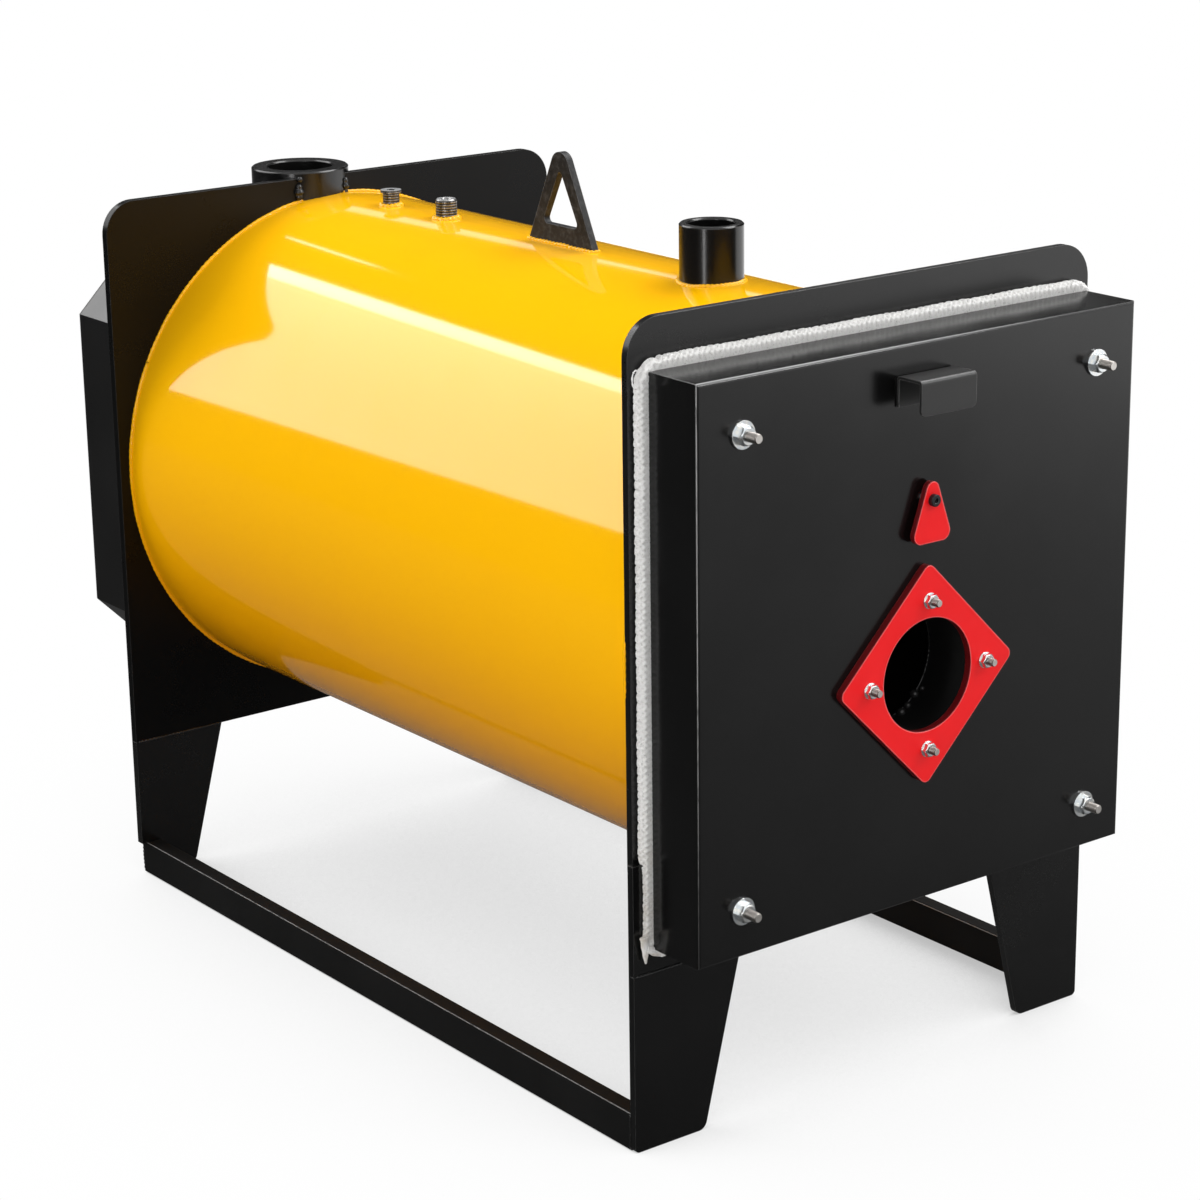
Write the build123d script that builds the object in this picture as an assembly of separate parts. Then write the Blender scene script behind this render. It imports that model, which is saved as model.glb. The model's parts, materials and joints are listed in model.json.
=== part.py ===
from build123d import *
from math import sqrt
import os

# Industrial hot-water boiler: a horizontal barrel between two square steel plates on plate legs.
# Lengths are in millimetres. X runs across, with the door seen from the front on -Y, and Z is up.
# The origin is on the floor, under the middle of the whole boiler.

# Barrel and the plates at its ends
barrel_radius = 293
barrel_wall = 5
barrel_length = 924
barrel_axis_height = 490
front_plate_wall = 8
front_plate_width = 588
front_plate_bottom = 281
front_plate_top = 819
rear_plate_wall = 10
rear_plate_width = 614
rear_plate_bottom = 167
rear_plate_top = 805
plate_corner_radius = 37
plate_lower_corner_radius = 7

# Apron below the front plate, and the tongue of the plate behind it
apron_wall = 8
apron_bottom = 184
apron_lap = 16
tongue_inset = 14
tongue_bottom = 192

# Legs and rails
leg_span = 600
front_leg_top_width = 133
front_leg_foot_width = 87
rear_leg_top_width = 116
rear_leg_foot_width = 71
leg_toe_radius = 10
leg_heel_radius = 5
rail_width = 20
rail_height = 40
rail_wall = 2
rail_corner_radius = 2.5

# Furnace
furnace_radius = 165
furnace_wall = 6
furnace_length = 760
furnace_end_depth = 45

# Chamber and smoke box behind the rear plate
chamber_half_width = 293
chamber_cut_corner = 121
chamber_depth = 98
chamber_wall = 6
chamber_edge_radius = 8
smoke_box_width = 380
smoke_box_height = 360
smoke_box_centre_height = 510
smoke_box_depth = 80
smoke_box_wall = 3
smoke_box_edge_radius = 10
flue_radius = 80
flue_wall = 2
flue_length = 60
flue_height = 560

# Sockets and lifting lug on top
flow_socket_radius = 57
flow_socket_bore = 38.5
flow_socket_rise = 29
flow_socket_across = -20
flow_socket_behind_plate = 47
return_socket_radius = 33
return_socket_bore = 24
return_socket_rise = 58
return_socket_from_plate = 230
gauge_socket_bore = 4.5
rear_gauge_radius = 9.5
rear_gauge_rim_radius = 12
rear_gauge_rim_height = 3
rear_gauge_rise = 18
rear_gauge_from_plate = 809
front_gauge_radius = 12
front_gauge_rise = 22
front_gauge_from_plate = 698
socket_edge_chamfer = 1.5
lug_wall = 8
lug_base = 114
lug_height = 100
lug_crown_radius = 15
lug_from_plate = 479
lug_foot_rim = 21
lug_crown_rim = 22
lug_side_rim = 15
lug_eye_foot_radius = 5
lug_eye_crown_radius = 4

# Door
door_width = 558
door_bottom = 210
door_top = 772
door_depth = 68
door_sheet = 3
door_bend_radius = 3.5
door_gap = 12
stud_across = 226
stud_low = 257
stud_high = 718
stud_radius = 5
stud_reach = 24
stud_hole_clearance = 0.5
washer_radius = 13.5
washer_wall = 2.5
nut_flats = 17
nut_height = 8
nut_face_share = 0.93
gasket_width = 24
gasket_overhang = 11
gasket_corner_radius = 20
gasket_edge_radius = 3.5
refractory_margin = 20
refractory_recess = 4
refractory_stud_clearance = 2

# Handle on the door
handle_width = 70
handle_reach = 34
handle_front_height = 34
handle_back_height = 30
handle_drop = 28
handle_across = -3
handle_sheet = 3
handle_bend_radius = 4
handle_corner_radius = 6

# Burner opening
burner_height = 445
burner_hole = 57
burner_flange_side = 160
burner_flange_corner = 8
burner_flange_wall = 8
burner_stud_circle = 150
burner_stud_radius = 4
burner_stud_reach = 15
burner_nut_flats = 13
burner_nut_height = 6
burner_washer_radius = 8
burner_washer_wall = 1.5
throat_bore = 67.5
throat_wall = 3
throat_length = 64

# Sight hole with its swinging cover
sight_pivot_over_burner = 175
sight_hole_drop = 30
sight_hole_radius = 10
sight_tube_wall = 3
cover_wall = 6
cover_gap = 5
cover_top_radius = 8
cover_top_rise = 10
cover_foot_radius = 9
cover_foot_drop = 33
cover_foot_spread = 14
pivot_radius = 4
pivot_play = 0.05
pivot_head_radius = 6
pivot_head_height = 5
pivot_key_flats = 5
pivot_key_depth = 2.5
pivot_side_gap = 0.2
spacer_radius = 7

# Places along the boiler, counted from the front face of the apron
front_reach = door_gap - apron_wall + door_depth + handle_reach
rear_reach = (apron_wall + front_plate_wall + barrel_length + rear_plate_wall
              + chamber_depth + smoke_box_depth + flue_length)
apron_front = (front_reach - rear_reach) / 2
plate_front = apron_front + apron_wall
plate_back = plate_front + front_plate_wall
rear_plate_front = plate_back + barrel_length
rear_plate_back = rear_plate_front + rear_plate_wall
chamber_back = rear_plate_back + chamber_depth
smoke_box_back = chamber_back + smoke_box_depth
flue_end = smoke_box_back + flue_length
door_back = plate_front - door_gap
door_front = door_back - door_depth
burner_front = door_front - burner_flange_wall
cover_back = door_front - cover_gap
cover_front = cover_back - cover_wall

# Heights and half widths that several pieces share
barrel_top = barrel_axis_height + barrel_radius
flow_socket_top = barrel_top + flow_socket_rise
return_socket_top = barrel_top + return_socket_rise
rear_gauge_top = barrel_top + rear_gauge_rise
front_gauge_top = barrel_top + front_gauge_rise
apron_top = front_plate_bottom + apron_lap
half_span = leg_span / 2
rear_half = rear_plate_width / 2
door_half = door_width / 2
door_middle = (door_bottom + door_top) / 2
handle_top = door_top - handle_drop
flow_socket_along = rear_plate_front + flow_socket_behind_plate
sight_pivot_height = burner_height + sight_pivot_over_burner
sight_hole_height = sight_pivot_height - sight_hole_drop
door_stud_places = [(x, z) for z in (stud_low, stud_high) for x in (-stud_across, stud_across)]
stud_circle_radius = burner_stud_circle / 2
burner_stud_places = [(stud_circle_radius, 0), (0, stud_circle_radius),
                      (-stud_circle_radius, 0), (0, -stud_circle_radius)]


def across_plane(y):
    """Plane standing across the boiler at y, with X across, Z up and the normal to the front."""
    return Plane(origin=(0, y, 0), x_dir=(1, 0, 0), z_dir=(0, -1, 0))


def slab(profile, front, back):
    """Solid between two places along the boiler, with a profile drawn as X across and Z up."""
    return extrude(across_plane(back) * profile, amount=back - front)


def rod(radius, front, back, x=0.0, z=0.0):
    """Round bar along the boiler."""
    return slab(Pos(x, z) * Circle(radius), front, back)


def ring(outer, inner, front, back, x=0.0, z=0.0):
    """Round tube along the boiler."""
    return slab(Pos(x, z) * (Circle(outer) - Circle(inner)), front, back)


def post(radius, bottom, top, x, y):
    """Round bar standing upright."""
    return extrude(Pos(x, y, bottom) * Circle(radius), amount=top - bottom)


def rectangle(left, right, low, high):
    """Flat rectangle given by its sides."""
    return Pos((left + right) / 2, (low + high) / 2) * Rectangle(right - left, high - low)


def corners_at(profile, low, high, half_inside=0.0):
    """Corners of a profile between two heights and further out than half_inside."""
    return [v for v in profile.vertices() if low <= v.Y <= high and abs(v.X) > half_inside]


def mirrored(shape):
    """The same piece on the right-hand side."""
    return mirror(shape, about=Plane.YZ)


def barrel_body(radius):
    """Solid cylinder on the barrel's axis, over the whole length of the boiler."""
    return rod(radius, plate_back, flue_end, z=barrel_axis_height)


def make_barrel_shell():
    shell = ring(barrel_radius, barrel_radius - barrel_wall, plate_back, rear_plate_front,
                 z=barrel_axis_height)
    bore_floor = barrel_axis_height
    return_bore = post(return_socket_bore, bore_floor, return_socket_top,
                       0, plate_back + return_socket_from_plate)
    rear_gauge_bore = post(gauge_socket_bore, bore_floor, return_socket_top,
                           0, plate_back + rear_gauge_from_plate)
    front_gauge_bore = post(gauge_socket_bore, bore_floor, return_socket_top,
                            0, plate_back + front_gauge_from_plate)
    return shell - return_bore - rear_gauge_bore - front_gauge_bore


def make_front_plate():
    """Square plate with large upper corners, and a narrower tongue that backs the apron."""
    half = front_plate_width / 2
    outline = rectangle(-half, half, front_plate_bottom, front_plate_top)
    outline = fillet(corners_at(outline, front_plate_top - 1, front_plate_top + 1),
                     plate_corner_radius)
    outline = fillet(corners_at(outline, front_plate_bottom - 1, front_plate_bottom + 1),
                     plate_lower_corner_radius)
    tongue_half = half_span - tongue_inset
    outline += rectangle(-tongue_half, tongue_half, tongue_bottom,
                         front_plate_bottom + plate_lower_corner_radius)
    opening = Pos(0, burner_height) * Circle(furnace_radius)
    return slab(outline - opening, plate_front, plate_back)


def make_apron():
    """Strip across the front that carries the front legs."""
    outline = rectangle(-half_span, half_span, apron_bottom, apron_top)
    opening = Pos(0, burner_height) * Circle(furnace_radius)
    return slab(outline - opening, apron_front, plate_front)


def flow_socket_body():
    """Outside of the thick flow socket, down into the barrel."""
    return post(flow_socket_radius, barrel_axis_height, flow_socket_top,
                flow_socket_across, flow_socket_along)


def flow_socket_hole(bottom):
    """Bore of the flow socket, from a height upwards."""
    return post(flow_socket_bore, bottom, flow_socket_top, flow_socket_across, flow_socket_along)


def make_rear_plate():
    """Square plate with large upper corners, notched round the flow socket and its bore."""
    outline = rectangle(-rear_half, rear_half, rear_plate_bottom, rear_plate_top)
    outline = fillet(corners_at(outline, rear_plate_top - 1, rear_plate_top + 1),
                     plate_corner_radius)
    notch = flow_socket_body() & slab(
        rectangle(-rear_half, rear_half, barrel_top, flow_socket_top),
        rear_plate_front, rear_plate_back)
    bore = flow_socket_hole(barrel_top - chamber_wall)
    return slab(outline, rear_plate_front, rear_plate_back) - notch - bore


def leg_outline(outer, top, top_width, foot_width):
    """Left leg seen from the front: upright outer edge, slanted inner edge, rounded foot."""
    outline = make_face(Polyline((-outer, top), (-outer, 0), (foot_width - outer, 0),
                                 (top_width - outer, top), close=True))
    heel = outline.vertices().sort_by_distance((-outer, 0, 0))[0]
    outline = fillet(heel, leg_heel_radius)
    toe = outline.vertices().sort_by_distance((foot_width - outer, 0, 0))[0]
    return fillet(toe, leg_toe_radius)


def make_front_left_leg():
    outline = leg_outline(half_span, apron_bottom, front_leg_top_width, front_leg_foot_width)
    return slab(outline, apron_front, plate_front)


def make_rear_left_leg():
    """The leg stands on the rail and is cut away round it."""
    outline = leg_outline(rear_half, rear_plate_bottom, rear_leg_top_width, rear_leg_foot_width)
    rail_cut = rectangle(-rear_half, rail_width - half_span, 0, rail_height)
    return slab(outline - rail_cut, rear_plate_front, rear_plate_back)


def make_left_rail():
    """Rectangular tube on the floor from the front leg to the back of the rear leg, closed there."""
    middle = rail_width / 2 - half_span
    outer = Pos(middle, rail_height / 2) * RectangleRounded(
        rail_width, rail_height, rail_corner_radius)
    inner = Pos(middle, rail_height / 2) * Rectangle(
        rail_width - 2 * rail_wall, rail_height - 2 * rail_wall)
    return (slab(outer, plate_front, rear_plate_back)
            - slab(inner, plate_front, rear_plate_back - rail_wall))


def make_furnace_tube():
    return ring(furnace_radius, furnace_radius - furnace_wall, plate_front,
                plate_front + furnace_length, z=burner_height)


def make_furnace_end():
    """Dished end of the furnace: part of a sphere, turned about the furnace's axis."""
    start = plate_front + furnace_length
    bulge = (furnace_radius ** 2 + furnace_end_depth ** 2) / (2 * furnace_end_depth)
    inside = bulge - furnace_wall
    centre = furnace_end_depth - bulge
    rim_inside = sqrt(inside ** 2 - centre ** 2)
    section = make_face(
        RadiusArc((furnace_radius, 0), (0, furnace_end_depth), -bulge)
        + Line((0, furnace_end_depth), (0, furnace_end_depth - furnace_wall))
        + RadiusArc((0, furnace_end_depth - furnace_wall), (rim_inside, 0), inside)
        + Line((rim_inside, 0), (furnace_radius, 0)))
    return Pos(0, start, burner_height) * revolve(section, Axis.Y)


def chamber_outline(half_width, cut):
    """Square with its four corners cut off, about the barrel's axis."""
    inner = half_width - cut
    points = [(half_width, inner), (inner, half_width), (-inner, half_width), (-half_width, inner),
              (-half_width, -inner), (-inner, -half_width), (inner, -half_width),
              (half_width, -inner)]
    return Pos(0, barrel_axis_height) * make_face(Polyline(*points, close=True))


def make_rear_chamber():
    """Water chamber with cut corners: side walls and a back wall, open to the rear plate."""
    outside = slab(chamber_outline(chamber_half_width, chamber_cut_corner),
                   rear_plate_back, chamber_back)
    rim = outside.faces().sort_by(Axis.Y)[-1].edges()
    outside = fillet(rim, chamber_edge_radius)
    inner_cut = chamber_cut_corner - chamber_wall * (2 - sqrt(2))
    inside = slab(chamber_outline(chamber_half_width - chamber_wall, inner_cut),
                  rear_plate_back, chamber_back - chamber_wall)
    return outside - inside - flow_socket_hole(barrel_axis_height)


def make_smoke_box():
    """Folded sheet box on the back of the chamber, with a round opening for the flue."""
    half_width = smoke_box_width / 2
    half_height = smoke_box_height / 2
    outer = Pos(0, smoke_box_centre_height) * Rectangle(smoke_box_width, smoke_box_height)
    outside = slab(outer, chamber_back, smoke_box_back)
    back_rim = outside.faces().sort_by(Axis.Y)[-1].edges()
    outside = fillet(back_rim + outside.edges().filter_by(Axis.Y), smoke_box_edge_radius)
    inner = rectangle(smoke_box_wall - half_width, half_width - smoke_box_wall,
                      smoke_box_centre_height - half_height + smoke_box_wall,
                      smoke_box_centre_height + half_height - smoke_box_wall)
    inside = slab(inner, chamber_back, smoke_box_back - smoke_box_wall)
    corner_radius = smoke_box_edge_radius - smoke_box_wall
    inside_rim = inside.faces().sort_by(Axis.Y)[-1].edges()
    inside = fillet(inside_rim + inside.edges().filter_by(Axis.Y), corner_radius)
    opening = rod(flue_radius - flue_wall, chamber_back, smoke_box_back, z=flue_height)
    return outside - inside - opening


def make_flue_spigot():
    return ring(flue_radius, flue_radius - flue_wall, smoke_box_back, flue_end, z=flue_height)


def chamfered_socket(radius, bore, top, x, y):
    """Thick ring standing on the barrel, with its upper rim broken inside and outside."""
    body = post(radius, barrel_axis_height, top, x, y) - post(bore, barrel_axis_height, top, x, y)
    rim = body.edges().filter_by(GeomType.CIRCLE).group_by(Axis.Z)[-1]
    return chamfer(rim, socket_edge_chamfer)


def make_return_socket():
    socket = chamfered_socket(return_socket_radius, return_socket_bore, return_socket_top,
                              0, plate_back + return_socket_from_plate)
    return socket - barrel_body(barrel_radius)


def make_flow_socket():
    """Thick socket that stands partly on the barrel and partly on the chamber behind the plate."""
    socket = chamfered_socket(flow_socket_radius, flow_socket_bore, flow_socket_top,
                              flow_socket_across, flow_socket_along)
    barrel = rod(barrel_radius, plate_back, rear_plate_front, z=barrel_axis_height)
    behind = slab(rectangle(-rear_half, rear_half, 0, barrel_top), rear_plate_front, flue_end)
    return socket - barrel - behind


def make_rear_gauge_socket():
    """Small socket with a wider rim."""
    y = plate_back + rear_gauge_from_plate
    body = post(rear_gauge_radius, barrel_axis_height, rear_gauge_top, 0, y)
    body += post(rear_gauge_rim_radius, rear_gauge_top - rear_gauge_rim_height, rear_gauge_top, 0, y)
    bore = post(gauge_socket_bore, barrel_axis_height, rear_gauge_top, 0, y)
    return body - bore - barrel_body(barrel_radius)


def make_front_gauge_socket():
    socket = chamfered_socket(front_gauge_radius, gauge_socket_bore, front_gauge_top,
                              0, plate_back + front_gauge_from_plate)
    return socket - barrel_body(barrel_radius)


def make_lifting_lug():
    """Upright plate along the ridge: tapered sides into a round crown, with a tapered eye."""
    half = lug_base / 2
    foot = barrel_top - lug_wall
    crown = barrel_top + lug_height - lug_crown_radius
    outline = make_hull(rectangle(-half, half, foot, barrel_top).edges()
                        + (Pos(0, crown) * Circle(lug_crown_radius)).edges())
    eye_foot = barrel_top + lug_foot_rim + lug_eye_foot_radius
    taper = (half - lug_crown_radius) / (crown - barrel_top)
    eye_half = half - (eye_foot - barrel_top) * taper - lug_side_rim - lug_eye_foot_radius
    eye_crown = barrel_top + lug_height - lug_crown_rim - lug_eye_crown_radius
    eye = make_hull((Pos(-eye_half, eye_foot) * Circle(lug_eye_foot_radius)).edges()
                    + (Pos(eye_half, eye_foot) * Circle(lug_eye_foot_radius)).edges()
                    + (Pos(0, eye_crown) * Circle(lug_eye_crown_radius)).edges())
    side = Plane(origin=(-lug_wall / 2, plate_back + lug_from_plate, 0),
                 x_dir=(0, 1, 0), z_dir=(1, 0, 0))
    return extrude(side * (outline - eye), amount=lug_wall) - barrel_body(barrel_radius)


def make_door_pan():
    """Folded sheet pan, open to the back, with holes for the studs, the burner and the sight."""
    outer = rectangle(-door_half, door_half, door_bottom, door_top)
    outside = slab(outer, door_front, door_back)
    outside = fillet(outside.faces().sort_by(Axis.Y)[0].edges(), door_bend_radius)
    inner = rectangle(door_sheet - door_half, door_half - door_sheet,
                      door_bottom + door_sheet, door_top - door_sheet)
    inside = slab(inner, door_front + door_sheet, door_back)
    inside = fillet(inside.faces().sort_by(Axis.Y)[0].edges(), door_bend_radius - door_sheet)
    pan = outside - inside
    for x, z in door_stud_places:
        pan -= rod(stud_radius + stud_hole_clearance, door_front, door_back, x, z)
    pan -= rod(throat_bore + throat_wall, door_front, door_back, z=burner_height)
    pan -= rod(sight_hole_radius, door_front, door_back, z=sight_hole_height)
    return pan


def make_door_refractory():
    """Block of insulation inside the pan, holed for everything that passes through it."""
    half = door_half - refractory_margin
    outline = rectangle(-half, half, door_bottom + refractory_margin, door_top - refractory_margin)
    for x, z in door_stud_places:
        outline -= Pos(x, z) * Circle(stud_radius + refractory_stud_clearance)
    outline -= Pos(0, burner_height) * Circle(throat_bore + throat_wall)
    outline -= Pos(0, sight_hole_height) * Circle(sight_hole_radius + sight_tube_wall)
    return slab(outline, door_front + door_sheet, door_back - refractory_recess)


def make_door_gasket():
    """Rope laid round the door's edge, pressed flat against the plate and the apron."""
    half = door_half + gasket_overhang
    low = door_bottom - gasket_overhang
    high = door_top + gasket_overhang
    outer = Pos(0, door_middle) * RectangleRounded(2 * half, high - low, gasket_corner_radius)
    inner = Pos(0, door_middle) * RectangleRounded(
        2 * (half - gasket_width), high - low - 2 * gasket_width,
        gasket_corner_radius - gasket_width / 2)
    rope = slab(outer - inner, door_back, plate_front)
    rope = fillet(rope.faces().sort_by(Axis.Y)[0].edges(), gasket_edge_radius)
    return rope - slab(rectangle(-half, half, 0, apron_top), apron_front, plate_front)


def hexagonal_nut(flats, height, bore, seat, x, z):
    """Nut seated at a place along the boiler, towards the front, with its corners chamfered."""
    hexagon = Pos(x, z) * RegularPolygon(flats / 2, 6, major_radius=False)
    body = slab(hexagon, seat - height, seat)
    corner_reach = flats / sqrt(3)
    crown = rod(corner_reach, seat - height, seat, x, z)
    front_rim = crown.faces().sort_by(Axis.Y)[0].edges()
    crown = chamfer(front_rim, corner_reach - flats * nut_face_share / 2)
    return (body & crown) - rod(bore, seat - height, seat, x, z)


def make_door_studs():
    """Studs welded to what is behind them: the apron at the bottom and the plate at the top."""
    tip = door_front - stud_reach
    pieces = []
    for x, z in door_stud_places:
        foot = apron_front if z < apron_top else plate_front
        stud = rod(stud_radius, tip, foot, x, z)
        pieces.append(chamfer(stud.faces().sort_by(Axis.Y)[0].edges(), stud_radius / 5))
    return pieces


def make_door_washers():
    return [ring(washer_radius, stud_radius + stud_hole_clearance, door_front - washer_wall,
                 door_front, x, z) for x, z in door_stud_places]


def make_door_nuts():
    seat = door_front - washer_wall
    return [hexagonal_nut(nut_flats, nut_height, stud_radius, seat, x, z)
            for x, z in door_stud_places]


def make_door_handle():
    """Strip bent to a square hook: flat on the door, out over the top and down in front."""
    front_low = handle_top - handle_front_height
    back_low = handle_top - handle_back_height
    front = door_front - handle_reach
    inner_back = door_front - handle_sheet
    section = (rectangle(front, door_front, front_low, handle_top)
               - rectangle(front + handle_sheet, inner_back, front_low, handle_top - handle_sheet)
               - rectangle(inner_back, door_front, front_low, back_low))
    outer_bends = [v for v in section.vertices() if v.Y > handle_top - 1]
    section = fillet(outer_bends, handle_bend_radius)
    bend_height = handle_top - handle_sheet
    inner_bends = [v for v in section.vertices() if abs(v.Y - bend_height) < 1e-3
                   and front + handle_sheet - 1 < v.X < inner_back + 1]
    section = fillet(inner_bends, handle_bend_radius - handle_sheet)
    side = Plane(origin=(handle_across - handle_width / 2, 0, 0),
                 x_dir=(0, 1, 0), z_dir=(1, 0, 0))
    handle = extrude(side * section, amount=handle_width)
    lower_corners = [e for e in handle.edges().filter_by(Axis.Y)
                     if e.center().Z < front_low + 1 and e.center().Y < front + handle_sheet]
    return fillet(lower_corners, handle_corner_radius)


def make_burner_flange():
    """Square plate set on its corner, with rounded corners, the burner hole and stud holes."""
    plate = Rot(0, 0, 45) * RectangleRounded(
        burner_flange_side, burner_flange_side, burner_flange_corner)
    plate -= Circle(burner_hole)
    for x, z in burner_stud_places:
        plate -= Pos(x, z) * Circle(burner_stud_radius)
    return slab(Pos(0, burner_height) * plate, burner_front, door_front)


def make_burner_throat():
    """Sleeve behind the flange, wider than its hole, through the door's insulation."""
    return ring(throat_bore + throat_wall, throat_bore, door_front, door_front + throat_length,
                z=burner_height)


def make_burner_studs():
    pieces = []
    for x, z in burner_stud_places:
        stud = rod(burner_stud_radius, burner_front - burner_stud_reach, door_front,
                   x, burner_height + z)
        pieces.append(chamfer(stud.faces().sort_by(Axis.Y)[0].edges(), burner_stud_radius / 5))
    return pieces


def make_burner_washers():
    return [ring(burner_washer_radius, burner_stud_radius, burner_front - burner_washer_wall,
                 burner_front, x, burner_height + z) for x, z in burner_stud_places]


def make_burner_nuts():
    seat = burner_front - burner_washer_wall
    return [hexagonal_nut(burner_nut_flats, burner_nut_height, burner_stud_radius, seat,
                          x, burner_height + z) for x, z in burner_stud_places]


def make_sight_cover():
    """Pear-shaped flap: a small round top about the screw, and a wider rounded foot."""
    foot = -cover_foot_drop
    outline = make_hull((Pos(0, cover_top_rise) * Circle(cover_top_radius)).edges()
                        + (Pos(-cover_foot_spread, foot) * Circle(cover_foot_radius)).edges()
                        + (Pos(cover_foot_spread, foot) * Circle(cover_foot_radius)).edges())
    outline -= Circle(pivot_radius + pivot_play)
    return slab(Pos(0, sight_pivot_height) * outline, cover_front, cover_back)


def make_sight_screw():
    """Shouldered screw: the shank holds the cover, and the head with its key hole keeps it on."""
    head_back = cover_front - pivot_side_gap
    shank = rod(pivot_radius, head_back, door_front, z=sight_pivot_height)
    head = rod(pivot_head_radius, head_back - pivot_head_height, head_back, z=sight_pivot_height)
    head = fillet(head.faces().sort_by(Axis.Y)[0].edges(), pivot_head_height / 5)
    key = Pos(0, sight_pivot_height) * RegularPolygon(pivot_key_flats / 2, 6, major_radius=False)
    head_front = head_back - pivot_head_height
    return shank + head - slab(key, head_front, head_front + pivot_key_depth)


def make_sight_spacer():
    return ring(spacer_radius, pivot_radius, cover_back + pivot_side_gap, door_front,
                z=sight_pivot_height)


def make_sight_tube():
    return ring(sight_hole_radius + sight_tube_wall, sight_hole_radius,
                door_front + door_sheet, door_back - refractory_recess, z=sight_hole_height)


front_left_leg = make_front_left_leg()
rear_left_leg = make_rear_left_leg()
left_rail = make_left_rail()

nodes = {
    "barrel_shell": make_barrel_shell(),
    "furnace_tube": make_furnace_tube(),
    "furnace_end": make_furnace_end(),
    "front_plate": make_front_plate(),
    "front_apron": make_apron(),
    "rear_plate": make_rear_plate(),
    "front_left_leg": front_left_leg,
    "front_right_leg": mirrored(front_left_leg),
    "rear_left_leg": rear_left_leg,
    "rear_right_leg": mirrored(rear_left_leg),
    "left_rail": left_rail,
    "right_rail": mirrored(left_rail),
    "rear_chamber": make_rear_chamber(),
    "smoke_box": make_smoke_box(),
    "flue_spigot": make_flue_spigot(),
    "flow_socket": make_flow_socket(),
    "return_socket": make_return_socket(),
    "rear_gauge_socket": make_rear_gauge_socket(),
    "front_gauge_socket": make_front_gauge_socket(),
    "lifting_lug": make_lifting_lug(),
    "door_pan": make_door_pan(),
    "door_refractory": make_door_refractory(),
    "door_gasket": make_door_gasket(),
    "door_studs": make_door_studs(),
    "door_washers": make_door_washers(),
    "door_nuts": make_door_nuts(),
    "door_handle": make_door_handle(),
    "burner_flange": make_burner_flange(),
    "burner_throat": make_burner_throat(),
    "burner_studs": make_burner_studs(),
    "burner_washers": make_burner_washers(),
    "burner_nuts": make_burner_nuts(),
    "sight_cover": make_sight_cover(),
    "sight_screw": make_sight_screw(),
    "sight_spacer": make_sight_spacer(),
    "sight_tube": make_sight_tube(),
}

os.makedirs("parts", exist_ok=True)
for name, shape in nodes.items():
    solids = []
    for piece in shape if isinstance(shape, list) else [shape]:
        solids.extend(piece.solids())
    export_step(solids[0] if len(solids) == 1 else Compound(children=solids), f"parts/{name}.step")
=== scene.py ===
import json
import math

import bpy
import numpy as np
from mathutils import Matrix, Vector


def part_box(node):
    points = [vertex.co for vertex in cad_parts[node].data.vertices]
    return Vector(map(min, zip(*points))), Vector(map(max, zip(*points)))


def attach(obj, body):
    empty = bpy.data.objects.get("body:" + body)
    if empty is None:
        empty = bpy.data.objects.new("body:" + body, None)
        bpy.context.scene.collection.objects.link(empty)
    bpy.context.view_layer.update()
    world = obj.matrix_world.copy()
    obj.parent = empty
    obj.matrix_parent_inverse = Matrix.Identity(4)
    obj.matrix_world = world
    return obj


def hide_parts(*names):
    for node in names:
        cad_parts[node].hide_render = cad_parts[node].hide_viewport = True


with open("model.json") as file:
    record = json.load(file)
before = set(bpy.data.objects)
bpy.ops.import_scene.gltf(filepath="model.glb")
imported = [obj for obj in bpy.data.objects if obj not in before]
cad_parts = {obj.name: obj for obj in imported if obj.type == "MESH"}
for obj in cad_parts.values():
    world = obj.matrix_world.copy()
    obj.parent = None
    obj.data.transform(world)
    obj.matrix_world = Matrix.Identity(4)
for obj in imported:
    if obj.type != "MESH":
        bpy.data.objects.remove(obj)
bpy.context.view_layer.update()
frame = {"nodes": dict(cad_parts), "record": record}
nodes = frame["nodes"]

TAU = 2 * math.pi


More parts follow.
